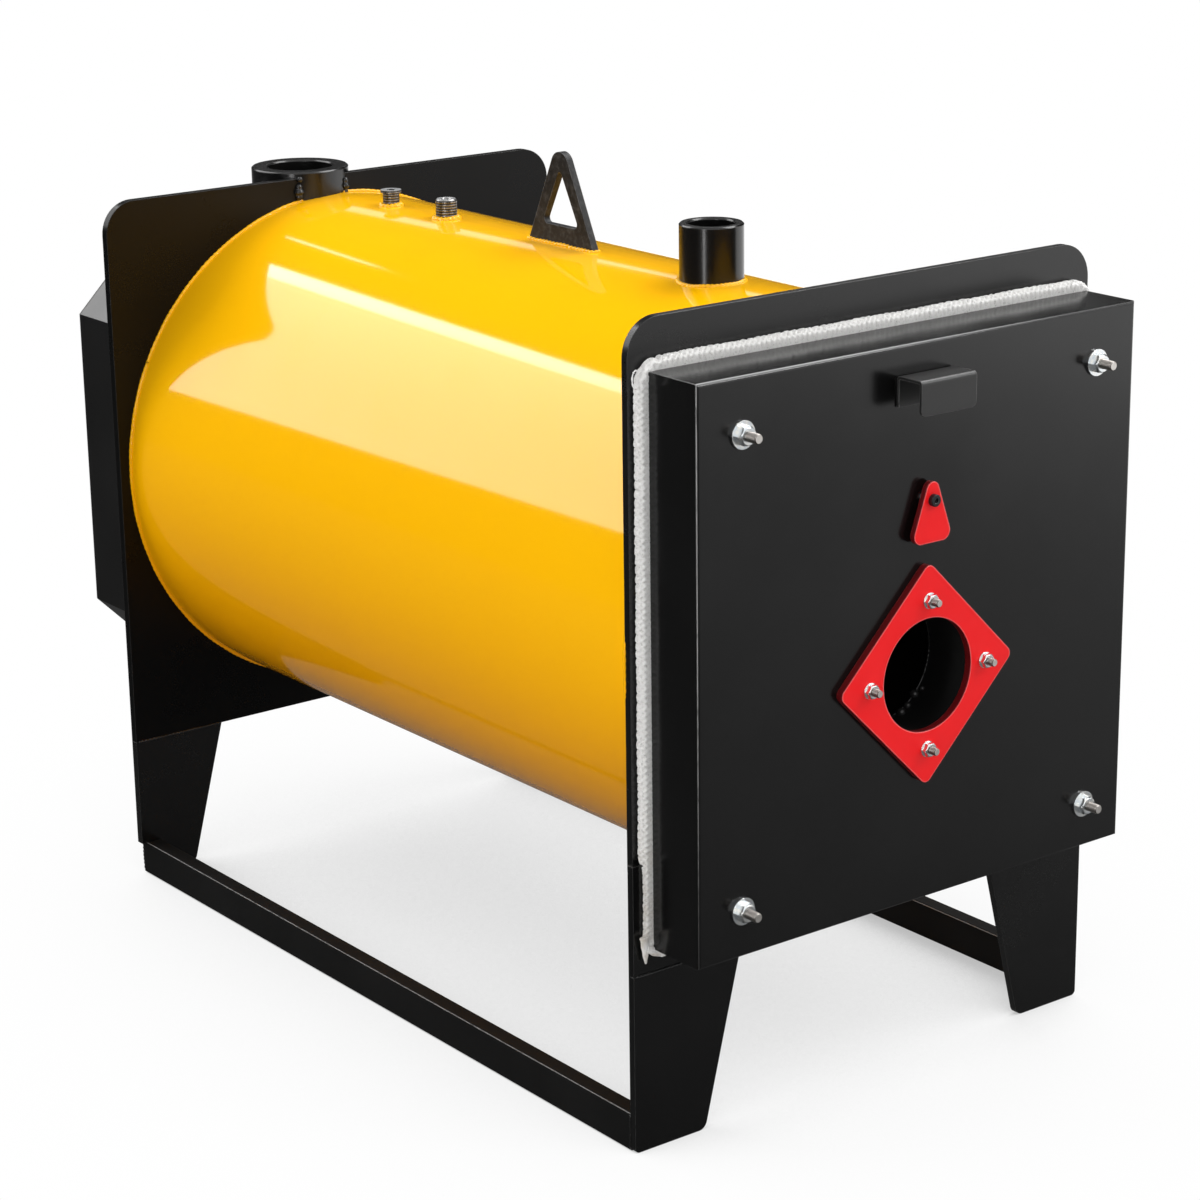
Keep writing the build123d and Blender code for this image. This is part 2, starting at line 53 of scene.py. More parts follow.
class Sock:
    """A node's output that takes arithmetic. Numbers go through Math nodes, vectors through
    Vector Math, and node() makes any other node in the same tree."""

    def __init__(self, tree, out):
        self.tree = tree
        self.out = out

    def plug(self, socket, value):
        """Links a wrapped output into a socket, or sets a plain value on it."""
        if isinstance(value, Sock):
            self.tree.links.new(value.out, socket)
        else:
            socket.default_value = value

    def node(self, kind, result, settings=None, sockets=None):
        """Makes a node from its type, its settings and its sockets by name or number, and wraps
        the output called result."""
        new = self.tree.nodes.new("ShaderNode" + kind)
        for key, value in (settings or {}).items():
            setattr(new, key, value)
        for key, value in (sockets or {}).items():
            self.plug(new.inputs[key], value)
        return Sock(self.tree, new.outputs[result])

    def math(self, operation, *others, swap=False):
        """The operation of this output with others, with swap putting this one second."""
        values = [self, *others]
        if swap:
            values = [others[0], self]
        vector = any(isinstance(v, Sock) and v.out.type == "VECTOR" for v in values)
        kind = "VectorMath" if vector else "Math"
        if vector:
            values = [v if isinstance(v, (Sock, tuple)) else (v, v, v) for v in values]
        return self.node(kind, 0, {"operation": operation}, dict(enumerate(values)))

    def __add__(self, other):
        return self.math("ADD", other)

    __radd__ = __add__

    def __sub__(self, other):
        return self.math("SUBTRACT", other)

    def __rsub__(self, other):
        return self.math("SUBTRACT", other, swap=True)

    def __mul__(self, other):
        return self.math("MULTIPLY", other)

    __rmul__ = __mul__

    def __pow__(self, other):
        return self.math("POWER", other)

    def sin(self):
        return self.math("SINE")

    def abs(self):
        return self.math("ABSOLUTE")

    def max(self, other):
        return self.math("MAXIMUM", other)

    def min(self, other):
        return self.math("MINIMUM", other)

    def part(self, axis):
        """The X, Y or Z of a vector."""
        return self.node("SeparateXYZ", axis, None, {0: self})

    def step(self, low, high, start=0.0, end=1.0):
        """Smooth step: start below low, end above high."""
        return self.node("MapRange", 0, {"interpolation_type": "SMOOTHSTEP"},
                         {0: self, 1: low, 2: high, 3: start, 4: end})

    def noise(self, scale, detail=2.0, roughness=0.5):
        """Noise in 0..1 at this place, with scale in features per metre."""
        return self.node("TexNoise", "Fac", None,
                         {"Vector": self, "Scale": scale, "Detail": detail,
                          "Roughness": roughness})

    def cells(self, scale):
        """Distance to the nearest of scattered points, with scale in points per metre."""
        return self.node("TexVoronoi", "Distance", None, {"Vector": self, "Scale": scale})

    def mix(self, first, second):
        """Colour between first, where this factor is 0, and second, where it is 1."""
        return self.node("Mix", 2, {"data_type": "RGBA"}, {0: self, 6: first, 7: second})

    def bump(self, distance, strength=1.0, normal=None):
        """Normal bent by this height, which is 0..1 over the distance in metres."""
        sockets = {"Height": self, "Distance": distance, "Strength": strength}
        if normal is not None:
            sockets["Normal"] = normal
        return self.node("Bump", "Normal", None, sockets)


def new_material(name, **constants):
    """A material whose shader has these constants, that shader, and its object coordinates."""
    material = bpy.data.materials.new(name)
    material.use_nodes = True
    tree = material.node_tree
    shader = tree.nodes["Principled BSDF"]
    for key, value in constants.items():
        shader.inputs[key.replace("_", " ")].default_value = value
    coordinates = tree.nodes.new("ShaderNodeTexCoord")
    return material, shader, Sock(tree, coordinates.outputs["Object"])


def finish_material(shader, place, **varying):
    """Links what varies over the surface into the shader."""
    for key, value in varying.items():
        place.plug(shader.inputs[key.replace("_", " ")], value)


def rounded_edge(place, radius):
    """Normal of an edge that is rounded to this radius."""
    return place.node("Bevel", "Normal", {"samples": 6}, {"Radius": radius})


def sharp_edge_mask(edge):
    """1 on sharp edges, where the rounded normal leaves the face's own normal, 0 on the faces."""
    true_normal = edge.node("NewGeometry", "True Normal")
    return (1.0 - edge.node("VectorMath", "Value", {"operation": "DOT_PRODUCT"},
                            {0: edge, 1: true_normal})).step(0.01, 0.2)


def bend_highlight_mask(edge):
    """1 where a surface looks out between the side and another axis, as on the side bends of a
    folded sheet, and 0 where it looks along an axis."""
    side = edge.part("X").abs()
    along = side.max(edge.part("Y").abs()).max(edge.part("Z").abs())
    return (1.0 - along).step(0.17, 0.28) * side.step(0.2, 0.4)


def rgb(r, g, b):
    return (r, g, b, 1.0)


def grey(level):
    """A very slightly warm grey."""
    return rgb(level, level * 0.99, level * 0.98)


BLACK = rgb(0.0, 0.0, 0.0)
WHITE = rgb(1.0, 1.0, 1.0)


def black_paint(name, gloss=0.20, depth=0.004, shine=0.5, edge_highlight_grey=0.05, bends=False,
                highlight_fades_below=-1.0):
    """Half-gloss black paint on steel sheet: fine orange peel, broad faint clouds in the gloss,
    a little dust, and rounded edges in a pale grey, partly worn paint and partly painted
    highlight. With bends, the folds of the sheet get that painted highlight too. Below the given
    height it fades out."""
    material, shader, at = new_material(name, Specular_IOR_Level=shine)
    edge = rounded_edge(at, 0.0012)
    # Painted highlight on the sharp edges and, with bends, on the folds; it stands partly for worn
    # paint.
    rub_and_highlight = sharp_edge_mask(edge)
    if bends:
        rub_and_highlight = rub_and_highlight.max(bend_highlight_mask(edge))
    rub_and_highlight = rub_and_highlight * at.noise(110.0, 3.0).step(0.2, 0.55, 0.35, 1.0)
    # The painted highlight fades out towards the bottom.
    rub_and_highlight = rub_and_highlight * at.part("Z").step(highlight_fades_below, highlight_fades_below + 0.35, 0.1, 1.0)
    clouds = at.noise(7.0, 4.0, 0.55)
    grain = at.noise(520.0, 2.0, 0.5)
    speck = at.cells(260.0).step(0.05, 0.11, 1.0, 0.0) * at.noise(35.0, 2.0).step(0.52, 0.7)
    tone = (clouds * 0.4 + speck * 0.4).min(1.0)
    # The edges take the pale grey of the painted highlight.
    colour = rub_and_highlight.mix(tone.mix(grey(depth * 0.5), grey(depth * 3.3)), grey(edge_highlight_grey))
    rough = gloss + clouds.step(0.3, 0.75) * 0.07 + grain * 0.04
    normal = (grain * 0.7 + at.noise(1700.0, 2.0) * 0.3).bump(0.00003, 0.5, edge)
    finish_material(shader, at, Base_Color=colour, Roughness=rough, Normal=normal)
    return material


def barrel_paint(name):
    """Glossy yellow enamel on rolled plate: long shallow waves of the rolling, fine orange peel,
    a trace of dust, and a painted shade, darker and more orange, towards the underside."""
    material, shader, at = new_material(name, Specular_IOR_Level=0.0, Coat_Roughness=0.07,
                                        Coat_IOR=1.5)
    edge = rounded_edge(at, 0.001)
    clouds = at.noise(4.0, 3.0, 0.5)
    fine = at.noise(700.0, 2.0)
    # Painted shade: the yellow turns darker and more orange low down on the barrel.
    thick = at.part("Z").step(0.28, 0.60, 1.0, 0.0)
    colour = thick.mix(clouds.mix(rgb(0.99, 0.482, 0.0008), rgb(1.0, 0.510, 0.0012)),
                       rgb(0.90, 0.372, 0.0006))
    waves = (at * (1.0, 0.16, 1.0)).noise(6.0, 1.0, 0.3)
    normal = waves.bump(0.0010, 0.3, edge)
    normal = fine.bump(0.000012, 0.3, normal)
    rough = 0.34 + at.noise(26.0, 3.0).step(0.45, 0.8) * 0.08
    finish_material(shader, at, Base_Color=colour, Roughness=rough, Normal=normal,
                    Coat_Weight=at.noise(12.0, 3.0).step(0.2, 0.6, 0.94, 1.0))
    return material


def red_paint(name):
    """Satin red powder coat with its fine peel. The cut sides are painted dark as shade, and a
    pale painted highlight runs round the front edges."""
    material, shader, at = new_material(name, Specular_IOR_Level=0.28)
    edge = rounded_edge(at, 0.0024)
    clouds = at.noise(30.0, 4.0, 0.6)
    facing = edge.part("Y").abs()
    face = clouds.mix(rgb(0.97, 0.005, 0.008), rgb(1.0, 0.010, 0.014))
    # Painted shade: the cut sides are dark red.
    side = clouds.mix(rgb(0.075, 0.003, 0.004), rgb(0.16, 0.005, 0.007))
    colour = facing.step(0.45, 0.75).mix(side, face)
    # Painted highlight: a pale line round the front edges.
    rim_highlight = facing.step(0.66, 0.76) * facing.step(0.93, 0.99, 1.0, 0.0)
    colour = (rim_highlight * 0.65).mix(colour, rgb(0.98, 0.36, 0.36))
    peel = at.noise(620.0, 2.0)
    normal = peel.bump(0.00005, 0.5, edge)
    finish_material(shader, at, Base_Color=colour, Roughness=0.33 + clouds * 0.1, Normal=normal)
    return material


def zinc(name):
    """Bright zinc plate with a faint blue and yellow passivation, cloudy and lightly scratched."""
    material, shader, at = new_material(name, Metallic=1.0)
    edge = rounded_edge(at, 0.0004)
    clouds = at.noise(140.0, 3.0, 0.6)
    colour = clouds.step(0.35, 0.7).mix(rgb(0.78, 0.82, 0.85), rgb(0.92, 0.91, 0.87))
    colour = sharp_edge_mask(edge).mix(colour, rgb(0.97, 0.98, 0.98))
    scratch = (at * (1.0, 0.2, 1.0)).noise(1800.0, 3.0, 0.7)
    normal = scratch.bump(0.00003, 0.5, edge)
    finish_material(shader, at, Base_Color=colour, Roughness=0.17 + clouds * 0.16, Normal=normal)
    return material


def stud_steel(name):
    """Bare threaded steel: bright on the crests, brown and dark in the roots of the thread. The
    depth of the thread is each point's own attribute."""
    material, shader, at = new_material(name, Metallic=1.0)
    clouds = at.noise(160.0, 4.0, 0.65)
    root = at.node("Attribute", "Fac", {"attribute_name": "groove"})
    crest = clouds.mix(rgb(0.50, 0.47, 0.43), rgb(0.86, 0.83, 0.80))
    colour = root.step(0.15, 0.8).mix(crest, rgb(0.055, 0.042, 0.034))
    normal = at.noise(2600.0, 2.0).bump(0.00003, 0.5)
    finish_material(shader, at, Base_Color=colour, Roughness=0.28 + clouds * 0.2, Normal=normal)
    return material


def gauge_steel(name):
    """A threaded steel nipple: dark thread with a groove once every turn and a bright ring on
    top."""
    material, shader, at = new_material(name, Metallic=0.9)
    edge = rounded_edge(at, 0.0004)
    pitch = 0.0030
    groove = (at.part("Z") * (TAU / pitch)).sin() * 0.5 + 0.5
    clouds = at.noise(300.0, 3.0)
    side = (groove * clouds.step(0.2, 0.6)).mix(rgb(0.012, 0.012, 0.012), rgb(0.30, 0.28, 0.26))
    colour = edge.part("Z").step(0.6, 0.95).mix(side, rgb(0.80, 0.81, 0.82))
    finish_material(shader, at, Base_Color=colour, Roughness=0.24 + clouds * 0.2,
                    Normal=groove.bump(0.0004, 0.7, edge))
    return material


def lug_steel(name):
    """Cut steel plate under thin worn black: mottled dark grey, bare along its edges."""
    material, shader, at = new_material(name, Specular_IOR_Level=0.3)
    edge = rounded_edge(at, 0.0012)
    mottle = at.noise(170.0, 5.0, 0.7)
    dark = mottle.step(0.42, 0.78).mix(rgb(0.0035, 0.0035, 0.004), rgb(0.048, 0.048, 0.049))
    bare = sharp_edge_mask(edge) * at.noise(140.0, 3.0).step(0.25, 0.6)
    colour = bare.mix(dark, rgb(0.19, 0.19, 0.195))
    normal = mottle.bump(0.0002, 0.5, edge)
    finish_material(shader, at, Base_Color=colour, Roughness=0.38 + mottle * 0.2, Normal=normal)
    return material


def dark_steel(name):
    """Mill-scaled steel with soot, as inside a furnace."""
    material, shader, at = new_material(name, Metallic=0.25, Specular_IOR_Level=0.35)
    clouds = at.noise(18.0, 5.0, 0.6)
    colour = clouds.mix(rgb(0.010, 0.010, 0.011), rgb(0.052, 0.047, 0.043))
    normal = at.noise(240.0, 4.0, 0.6).bump(0.0002, 0.6)
    finish_material(shader, at, Base_Color=colour, Roughness=0.5 + clouds * 0.3, Normal=normal)
    return material


def black_oxide(name):
    """Oiled black oxide on a machined screw."""
    material, shader, at = new_material(name, Metallic=0.6)
    edge = rounded_edge(at, 0.0003)
    clouds = at.noise(300.0, 3.0)
    colour = clouds.mix(rgb(0.012, 0.012, 0.014), rgb(0.04, 0.04, 0.045))
    colour = (sharp_edge_mask(edge) * 0.8).mix(colour, rgb(0.40, 0.44, 0.42))
    finish_material(shader, at, Base_Color=colour, Roughness=0.3 + clouds * 0.15, Normal=edge)
    return material


def refractory(name):
    """Cast fireproof insulation: pale, pitted and sooty in patches."""
    material, shader, at = new_material(name, Specular_IOR_Level=0.2)
    clouds = at.noise(14.0, 5.0, 0.6)
    pits = at.cells(230.0).step(0.1, 0.35)
    colour = clouds.mix(rgb(0.22, 0.20, 0.17), rgb(0.55, 0.51, 0.44))
    normal = (pits * 0.6 + at.noise(300.0, 4.0) * 0.4).bump(0.0008, 0.8)
    finish_material(shader, at, Base_Color=colour, Roughness=0.85 + clouds * 0.1, Normal=normal)
    return material


def rope_cloth(name):
    """Woven glass rope: off-white yarns with painted grey shade between them, browned a little low
    down.
    """
    material, shader, at = new_material(name, Specular_IOR_Level=0.15, Sheen_Weight=0.25,
                                        Sheen_Roughness=0.6)
    clouds = at.noise(55.0, 4.0, 0.6)
    fluff = at.noise(1500.0, 3.0, 0.7)
    yarns = at.noise(430.0, 3.0, 0.6)
    low = at.part("Z").step(0.2, 0.42, 1.0, 0.0)
    clean = clouds.mix(rgb(0.84, 0.83, 0.81), rgb(0.96, 0.955, 0.94))
    # Painted shade between the yarns, where the bump is low.
    clean = (yarns.step(0.28, 0.48, 1.0, 0.0) * 0.6).mix(clean, rgb(0.46, 0.45, 0.43))
    colour = (low * clouds.step(0.35, 0.7) * 0.55).mix(clean, rgb(0.46, 0.38, 0.28))
    normal = (fluff * 0.35 + yarns * 0.65).bump(0.0013, 0.9)
    finish_material(shader, at, Base_Color=colour, Roughness=0.85 + fluff * 0.1, Normal=normal)
    return material


CAMERA_PLACE = (-2.0167, -2.7555, 1.4121)
CAMERA_YAW, CAMERA_PITCH, CAMERA_ROLL = 37.228, -16.902, -0.800
CAMERA_LENS = 95.843


def make_camera():
    """The photograph's camera, from its fitted place and its yaw, pitch and roll."""
    yaw, pitch, roll = (math.radians(turn) for turn in (CAMERA_YAW, CAMERA_PITCH, CAMERA_ROLL))
    ahead = Vector((math.sin(yaw) * math.cos(pitch), math.cos(yaw) * math.cos(pitch),
                    math.sin(pitch)))
    level = Vector((math.cos(yaw), -math.sin(yaw), 0.0))
    above = level.cross(ahead)
    right = level * math.cos(roll) + above * math.sin(roll)
    up = above * math.cos(roll) - level * math.sin(roll)
    data = bpy.data.cameras.new("camera")
    data.sensor_width = 36.0
    data.lens = CAMERA_LENS
    data.clip_end = 60.0
    camera = bpy.data.objects.new("camera", data)
    bpy.context.scene.collection.objects.link(camera)
    turn = Matrix((right, up, -ahead)).transposed().to_4x4()
    camera.matrix_world = Matrix.Translation(CAMERA_PLACE) @ turn
    bpy.context.scene.camera = camera
    bpy.context.scene.view_settings.view_transform = "Standard"


def softbox(name, centre, across, along, radiance):
    """A rectangular lamp from its centre and its two edge vectors, which shines along
    across x along with this radiance."""
    across = Vector(across)
    along = Vector(along)
    data = bpy.data.lights.new(name, "AREA")
    data.shape = "RECTANGLE"
    data.size = across.length
    data.size_y = along.length
    data.energy = radiance * math.pi * data.size * data.size_y
    lamp = bpy.data.objects.new(name, data)
    bpy.context.scene.collection.objects.link(lamp)
    x_axis = across.normalized()
    z_axis = -across.cross(along).normalized()
    y_axis = z_axis.cross(x_axis)
    lamp.matrix_world = (Matrix.Translation(centre)
                         @ Matrix((x_axis, y_axis, z_axis)).transposed().to_4x4())
    lamp.visible_camera = False


def stage_sheet(name, corners, material):
    """A flat sheet of the studio from its four corners."""
    mesh = bpy.data.meshes.new(name)
    mesh.from_pydata(corners, [], [(0, 1, 2, 3)])
    sheet = bpy.data.objects.new(name, mesh)
    bpy.context.scene.collection.objects.link(sheet)
    sheet.data.materials.append(material)
    return sheet


def ray_kind(tree, kind):
    """1 for rays of this kind, otherwise 0."""
    return Sock(tree, tree.nodes.new("ShaderNodeLightPath").outputs[kind])


def make_world():
    """White behind the object. As light on it, the sky is soft and brighter overhead than at
    the horizon."""
    world = bpy.data.worlds.new("studio")
    bpy.context.scene.world = world
    world.use_nodes = True
    tree = world.node_tree
    background = tree.nodes["Background"]
    background.inputs["Color"].default_value = WHITE
    seen = (ray_kind(tree, "Is Camera Ray") + ray_kind(tree, "Is Glossy Ray")
            + ray_kind(tree, "Is Transmission Ray")).min(1.0)
    direction = Sock(tree, tree.nodes.new("ShaderNodeTexCoord").outputs["Generated"])
    sky = direction.part("Z").step(-0.1, 0.9, 0.42, 0.85)
    seen.plug(background.inputs["Strength"], seen + (1.0 - seen) * sky)


def floor_white(name):
    """White floor. The camera sees it white, less a painted soft shade from what stands over it.
    Gloss sees a painted brightness on it, dim at the left and bright at the right, where it passes
    1, so the emission is twice its colour. Other light finds matt paint."""
    emission = 2.0
    material, shader, at = new_material(name, Specular_IOR_Level=0.0, Roughness=1.0,
                                        Emission_Strength=emission)
    camera = ray_kind(at.tree, "Is Camera Ray")
    glossy = ray_kind(at.tree, "Is Glossy Ray")
    open_sky = at.node("AmbientOcclusion", "AO", {"samples": 12}, {"Distance": 1.3})
    shade = 1.0 - (((1.0 - open_sky) ** 3.5) * 1.15).min(0.5)
    # Painted brightness of the floor as gloss sees it.
    lit = at.part("X").step(-1.0, 2.2, 0.09, 0.52) * at.part("Y").step(-1.3, -0.5, 1.0, 0.60)
    lit = lit + at.part("X").step(1.7, 3.2, 0.0, 1.05)
    seen = camera * shade + glossy * lit
    matt = 0.5 - (camera + glossy).min(1.0) * 0.5
    finish_material(shader, at, Base_Color=matt.mix(BLACK, WHITE),
                    Emission_Color=(seen * (1.0 / emission)).mix(BLACK, WHITE))
    return material


def dark_cloth(name):
    """Dark cloth that keeps pale walls out of the gloss, with a painted glow that rises to white
    towards its upper edge."""
    material, shader, at = new_material(name, Specular_IOR_Level=0.0, Roughness=1.0,
                                        Emission_Strength=1.0)
    clouds = at.noise(0.5, 2.0)
    # Painted glow towards the top of the cloth, which is no lamp.
    height = at.part("Z").step(6.2, CLOTH_TOP)
    finish_material(shader, at, Base_Color=clouds.mix(grey(0.03), grey(0.07)),
                    Emission_Color=height.mix(BLACK, WHITE))
    return material


CLOTH_TOP = 8.6
CLOTHS = {
    "cloth_back": ((-5.5, 6.0), (7.0, 6.0)),
    "cloth_left": ((-5.5, -1.0), (-5.5, 6.0)),
    "cloth_right": ((7.0, 6.0), (7.0, -1.0)),
}
# Each lamp's centre, its two edge vectors and its radiance.
LAMPS = {
    "key_box": ((-1.30, 2.55, 2.10), (-0.87, -2.05, 0.68), (-1.893, -0.012, -1.424), 3.35),
    "key_edge": ((-0.42, 2.55, 2.75), (-0.87, -2.05, 0.68), (-0.19, -0.001, -0.143), 4.0),
    "top_box": ((1.55, -0.30, 3.0), (0.0, 2.4, 0.0), (1.0, 0.0, -0.5), 6.5),
    "front_box": ((1.98, -2.80, 2.60), (0.17, -0.17, -0.38), (-0.75, -0.55, 0.0), 20.0),
    "back_strip": ((2.75, 3.95, 2.26), (2.62, -1.83, 0.0), (0.0, 0.0, 0.28), 1.0),
    "back_spot": ((0.477, 2.874, 2.435), (0.042, -0.0142, 0.0073), (-0.1, -0.25, 0.11), 3.0),
    "left_strip": ((-2.3, -1.35, 1.15), (-0.09, 0.21, 0.0), (0.0, 0.0, 2.2), 10.0),
}


def make_stage():
    """Floor, dark cloth at the back and the sides, and lamps. The long key box and its bright
    edge stand over the barrel's left shoulder, the top box over its right. The front box and
    the left strip light the door's bends, and the back strip and the back spot are what the
    barrel's top mirrors."""
    size = 30.0
    level = -0.0005
    stage_sheet("floor", [(-size, -size, level), (size, -size, level), (size, size, level),
                          (-size, size, level)], floor_white("floor_white"))
    cloth = dark_cloth("dark_cloth")
    for name, (start, end) in CLOTHS.items():
        sheet = stage_sheet(name, [(*start, 0.0), (*end, 0.0), (*end, CLOTH_TOP),
                                   (*start, CLOTH_TOP)], cloth)
        # The cloth is seen only in reflections, where it paints them dark.
        sheet.visible_camera = False
        sheet.visible_diffuse = False
        sheet.visible_shadow = False
    for name, (centre, across, along, radiance) in LAMPS.items():
        softbox(name, centre, across, along, radiance)


def grid_faces(rows, columns, first, rows_close):
    """Quads between neighbours of a grid whose columns close round. The last row joins the
    first where the rows close too."""
    number = first + np.arange(rows * columns).reshape(rows, columns)
    number = np.concatenate([number, number[:, :1]], axis=1)
    if rows_close:
        number = np.concatenate([number, number[:1]])
    return np.stack([number[:-1, :-1], number[1:, :-1], number[1:, 1:], number[:-1, 1:]],
                    axis=-1).reshape(-1, 4)


def volume(points, faces):
    """Volume inside quads, from the pyramids between each face and the origin."""
    a, b, c, d = (points[faces[:, i]] for i in range(4))
    return (np.einsum("ij,ij->i", a, np.cross(b, c))
            + np.einsum("ij,ij->i", a, np.cross(c, d))).sum() / 6


def make_piece(name, grids, paint, rows_close=False, groove=None):
    """One mesh from grids of points, rows x columns x 3, that rides on the boiler. Each is a
    closed skin: its columns close round, and its end rows are covered or, where the rows close,
    joined. Every skin is turned so that its faces point outwards. Groove is a value per point
    that the paint may read."""
    points = np.zeros((0, 3))
    faces = []
    for grid in grids:
        rows, columns = grid.shape[:2]
        first = len(points)
        centre = grid.reshape(-1, 3).mean(axis=0)
        skin = grid_faces(rows, columns, 0, rows_close)
        flip = volume(grid.reshape(-1, 3) - centre, skin) < 0
        skin = skin + first
        ends = []
        if not rows_close:
            last = first + (rows - 1) * columns
            ends = [list(range(first, first + columns)),
                    list(range(last + columns - 1, last - 1, -1))]
        if flip:
            skin = skin[:, ::-1]
            ends = [end[::-1] for end in ends]
        points = np.concatenate([points, grid.reshape(-1, 3)])
        faces += skin.tolist() + ends
    mesh = bpy.data.meshes.new(name)
    mesh.from_pydata(points.tolist(), [], faces)
    mesh.polygons.foreach_set("use_smooth", [len(face) == 4 for face in faces])
    if groove is not None:
        mesh.attributes.new("groove", "FLOAT", "POINT").data.foreach_set("value", groove)
    mesh.materials.append(paints[paint])
    piece = bpy.data.objects.new(name, mesh)
    bpy.context.scene.collection.objects.link(piece)
    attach(piece, "boiler")
    return piece


def walk_round(places, step):
    """Points at even steps round a closed line of places in a plane, with the outward direction
    at each and the distance gone."""
    places = np.concatenate([places, places[:1]])
    gone = np.concatenate([[0], np.cumsum(np.linalg.norm(np.diff(places, axis=0), axis=1))])
    along = np.linspace(0, gone[-1], int(gone[-1] / step), endpoint=False)
    points = np.stack([np.interp(along, gone, places[:, i]) for i in range(2)], axis=1)
    ahead = np.roll(points, -1, axis=0) - np.roll(points, 1, axis=0)
    ahead /= np.linalg.norm(ahead, axis=1)[:, None]
    outward = np.stack([ahead[:, 1], -ahead[:, 0]], axis=1)
    return points, outward, along


def rounded_square_path(low, high, radius, step):
    """A walk along a rectangle with round corners: each side runs straight and each corner turns
    a quarter of a circle."""
    inner_low = np.array(low) + radius
    inner_high = np.array(high) - radius
    corners = [(inner_high[0], inner_low[1], -90), (inner_high[0], inner_high[1], 0),
               (inner_low[0], inner_high[1], 90), (inner_low[0], inner_low[1], 180)]
    places = []
    for x, z, turn in corners:
        angle = np.radians(turn + np.linspace(0, 90, 25))
        places.append(np.stack([x + radius * np.cos(angle), z + radius * np.sin(angle)], axis=1))
    return walk_round(np.concatenate(places), step)


def make_gasket():
    """Square-braided glass rope squeezed between the door and the plate: a rounded box section
    carried round the door, thinner where the apron stands in front of the plate, swollen
    outside the door's edge, with the braid's yarns as diamonds of two crossed waves, a ragged
    outer edge from nicks and tufts, and a lap where the rope's ends meet at the top left."""
    low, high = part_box("door_gasket")
    door_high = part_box("door_pan")[1]
    apron_low, apron_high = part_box("front_apron")
    half = 0.012
    corner = 0.0125
    columns = 44
    squareness = 0.55
    nick_spacing = 0.0085
    yarn_spacing = 0.0062
    yarn_depth = 0.0030
    yarns_round = 5
    swell_depth = 0.0014
    lap_x = -0.2635
    lap_width = 0.0013
    points, outward, along = rounded_square_path((low[0] + half, low[2] + half),
                                                 (high[0] - half, high[2] - half), corner, 0.0012)
    angle = np.linspace(0, TAU, columns, endpoint=False)
    across = np.sign(np.cos(angle)) * np.abs(np.cos(angle)) ** squareness
    depth = np.sign(np.sin(angle)) * np.abs(np.sin(angle)) ** squareness
    over_apron = points[:, 1] < apron_high[2]
    back = np.where(over_apron, apron_low[1], high[1])
    front = np.full(len(points), door_high[1])
    smooth = np.ones(9) / 9
    back = np.convolve(np.pad(back, 4, mode="wrap"), smooth, "valid")
    middle = (back + front) / 2
    thick = (back - front) / 2
    nick = (1 - np.abs(np.sin(np.pi * along / nick_spacing + 0.9 * np.sin(along * 37)))) ** 3
    tuft = np.sin(along * 610 + 2 * np.sin(along * 91)) * np.sin(along * 157 + 1)
    above = points[:, 1] > door_high[2] - 0.004
    lap = above * np.exp(-np.square((points[:, 0] - lap_x) / lap_width))
    reach = half * (0.97 + 0.03 * np.sin(along * 61) + 0.03 * tuft - 0.13 * nick - 0.14 * lap)
    reach = reach + 0.0010 * above * (points[:, 0] > lap_x)
    reach = reach[:, None] * across[None, :]
    proud = np.clip((reach - 0.002) / 0.010, 0, 1)
    swell = swell_depth * np.sin(np.pi * proud ** 0.8) * (depth < 0.2)[None, :]
    lengthwise = along[:, None] / yarn_spacing
    round_it = angle[None, :] * yarns_round / TAU
    waves = np.abs(np.sin(np.pi * (lengthwise + round_it)))
    cross = np.abs(np.sin(np.pi * (lengthwise - round_it)))
    yarn = (np.maximum(waves, cross) - 0.85) * yarn_depth
    reach = reach + yarn * np.sign(across)[None, :]
    place_y = middle[:, None] + thick[:, None] * depth[None, :] - swell - yarn * (proud > 0)
    grid = np.stack([points[:, :1] + outward[:, :1] * reach, place_y,
                     points[:, 1:] + outward[:, 1:] * reach], axis=-1)
    piece = make_piece("braided_rope_gasket", [grid], "gasket_rope",
                       rows_close=True)
    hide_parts("door_gasket")


def make_gasket_ends():
    """What hangs loose from the rope: two frayed tails at its lower left corner, each a flat
    cone, and one thin yarn that loops out at the upper left."""
    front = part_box("door_pan")[1][1] - 0.0012
    flatness = 0.38
    grids = []
    for start, end, width in (((-0.2905, 0.226), (-0.2893, 0.1980), 0.0056),
                              ((-0.2880, 0.2125), (-0.2700, 0.2050), 0.0044)):
        share = np.linspace(0, 1, 26)
        ragged = 1 + 0.13 * np.sin(share * 41) * np.sin(share * 23)
        path = np.stack([start[0] + (end[0] - start[0]) * share,
                         np.full_like(share, front),
                         start[1] + (end[1] - start[1]) * share], axis=1)
        radius = width * np.clip(1.04 - share, 0.03, 1) ** 0.55 * ragged
        cone = tube(path, radius, 14)
        cone[..., 1] = front + (cone[..., 1] - front) * flatness
        grids.append(cone)
    turn = np.linspace(-1.9, 2.2, 40)
    loop = np.stack([-0.2950 - 0.0042 * np.cos(turn), np.full_like(turn, front - 0.001),
                     0.7672 + 0.0085 * np.sin(turn)], axis=1)
    grids.append(tube(loop, 0.00075 + 0.0002 * np.sin(turn * 9), 8))
    make_piece("gasket_loose_ends", grids, "gasket_rope")


